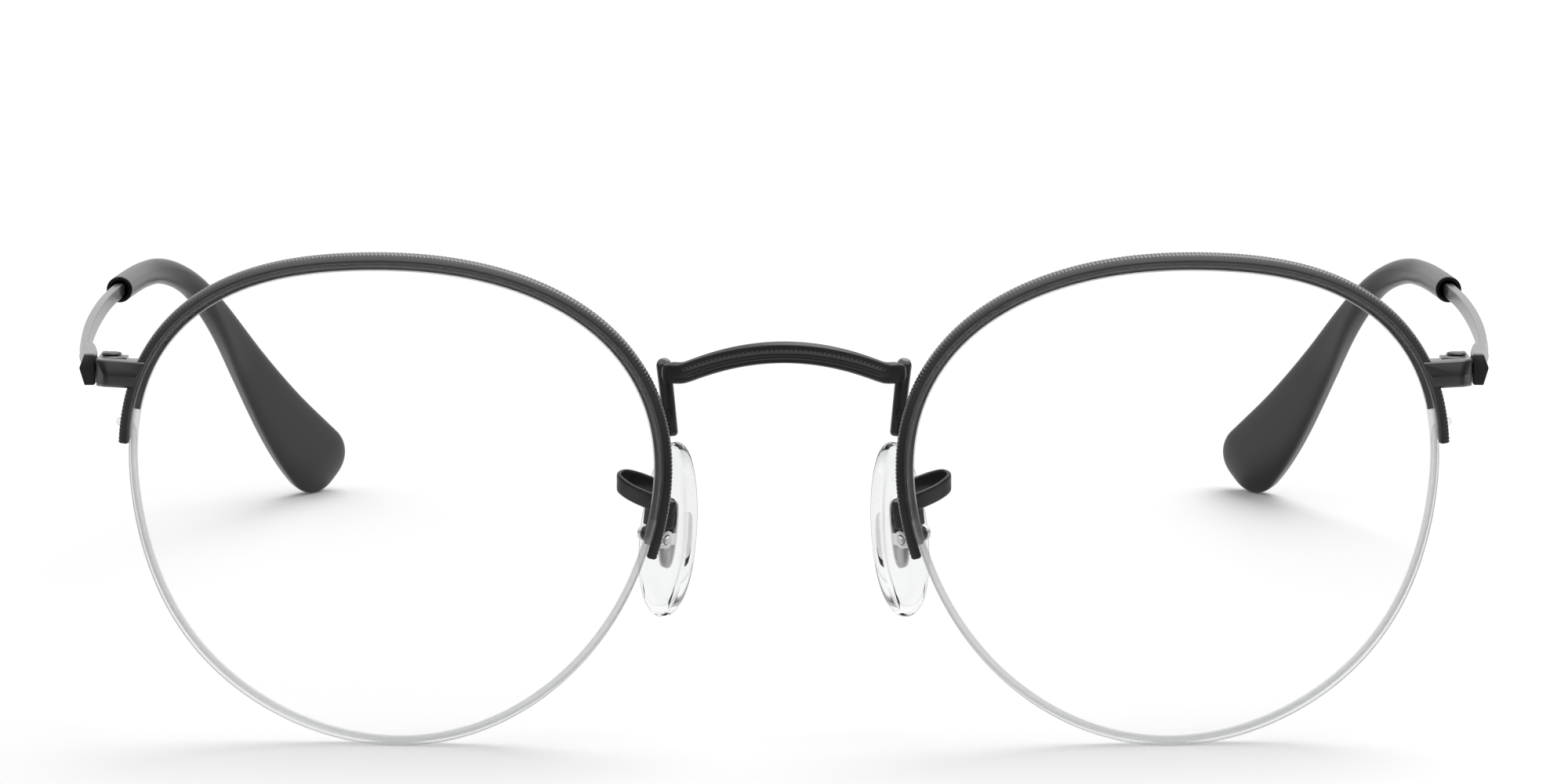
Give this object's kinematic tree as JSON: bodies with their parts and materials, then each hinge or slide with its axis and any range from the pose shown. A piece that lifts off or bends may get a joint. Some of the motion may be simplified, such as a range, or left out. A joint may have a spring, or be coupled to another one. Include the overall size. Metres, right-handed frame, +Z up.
{
  "type": "half rim eyeglasses",
  "caption": "Semi-rimless spectacles: metal browline rims, clear lenses held below by nylon cord, arched bridge, rocking nose pads and folding temples.",
  "frame": {"origin": "centre of the bottom of the bounding box: the plane the lens bottoms and temple tips stand on, midway across the front and midway between the bridge's front and the temple tips' back, temples open", "axes": "+Z up, -Y the way the wearer looks, +Y back along the temples, -X the wearer's right side"},
  "size_m": [0.1324, 0.1374, 0.0457],
  "materials": {
    "satin_black_metal": "satin black lacquer on metal",
    "black_plastic": "smooth matt black tips",
    "dark_liner": "dull dark strip",
    "clear_lens": "clear polished lens",
    "clear_pad": "clear soft plastic",
    "clear_nylon": "clear nylon line",
    "bare_steel": "bare steel",
    "dark_screw": "blackened steel"
  },
  "bodies": {
    "front": {"bridge": "satin_black_metal", "bridge_post_right": "satin_black_metal", "rim_right": "satin_black_metal", "rim_liner_right": "dark_liner", "nylon_cord_right": "clear_nylon", "lens_right": "clear_lens", "end_piece_right": "satin_black_metal", "hinge_screw_right": "dark_screw", "pad_arm_right": "satin_black_metal", "pad_box_right": "satin_black_metal", "pad_screw_right": "bare_steel", "bridge_post_left": "satin_black_metal", "rim_left": "satin_black_metal", "rim_liner_left": "dark_liner", "nylon_cord_left": "clear_nylon", "lens_left": "clear_lens", "end_piece_left": "satin_black_metal", "hinge_screw_left": "dark_screw", "pad_arm_left": "satin_black_metal", "pad_box_left": "satin_black_metal", "pad_screw_left": "bare_steel"},
    "temple_right": {"temple_right": "satin_black_metal", "temple_hinge_right": "satin_black_metal", "temple_tip_right": "black_plastic"},
    "temple_left": {"temple_left": "satin_black_metal", "temple_hinge_left": "satin_black_metal", "temple_tip_left": "black_plastic"},
    "pad_right": {"nose_pad_right": "clear_pad", "pad_insert_right": "bare_steel"},
    "pad_left": {"nose_pad_left": "clear_pad", "pad_insert_left": "bare_steel"}
  },
  "joints": [
    {"name": "right_temple_fold", "type": "hinge", "parent": "front", "child": "temple_right", "pos_m": [-0.0607, -0.05863, 0.03434], "axis": [0, -0.0576, -0.9983], "range_deg": [0, 84]},
    {"name": "left_temple_fold", "type": "hinge", "parent": "front", "child": "temple_left", "pos_m": [0.0607, -0.05863, 0.03434], "axis": [0, 0.0576, 0.9983], "range_deg": [0, 74]},
    {"name": "right_pad_rock", "type": "hinge", "parent": "front", "child": "pad_right", "pos_m": [-0.01131, -0.05987, 0.01884], "axis": [-0.715, 0.6905, 0.1096], "range_deg": [-8, 8]},
    {"name": "left_pad_rock", "type": "hinge", "parent": "front", "child": "pad_left", "pos_m": [0.01131, -0.05987, 0.01884], "axis": [-0.715, -0.6905, -0.1096], "range_deg": [-8, 8]}
  ]
}
